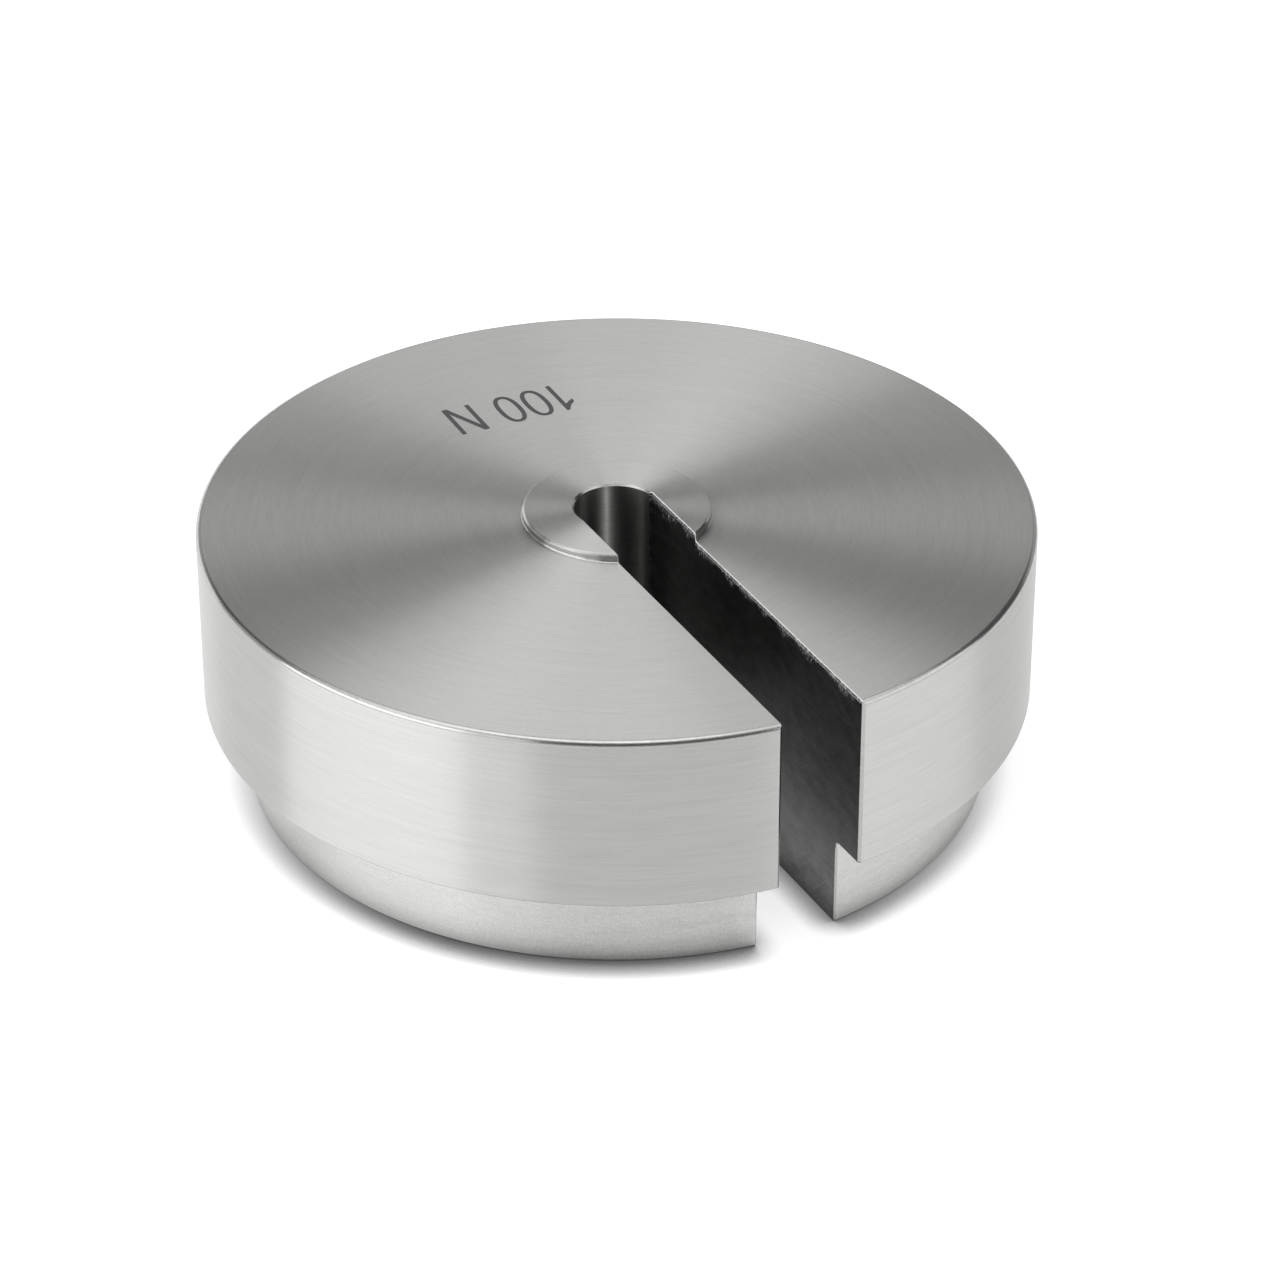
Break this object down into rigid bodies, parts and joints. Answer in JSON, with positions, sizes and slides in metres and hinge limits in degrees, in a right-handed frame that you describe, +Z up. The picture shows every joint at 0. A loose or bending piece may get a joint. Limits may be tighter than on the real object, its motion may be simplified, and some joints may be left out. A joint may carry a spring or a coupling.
{
  "type": "slotted calibration weight",
  "caption": "Round stainless steel weight with a slot from its rim to a central bore, a narrower foot, and a low centring boss on top.",
  "frame": {"origin": "centre of the underside, on the turning axis", "axes": "+Z up along the turning axis, from the underside to the boss; the slot opens toward -Y"},
  "size_m": [0.1784, 0.1779, 0.0611],
  "materials": {
    "steel": "fine-turned satin stainless steel, with brushed walls and a darker milled slot"
  },
  "bodies": {
    "root": {"weight_body": "steel"}
  },
  "joints": []
}
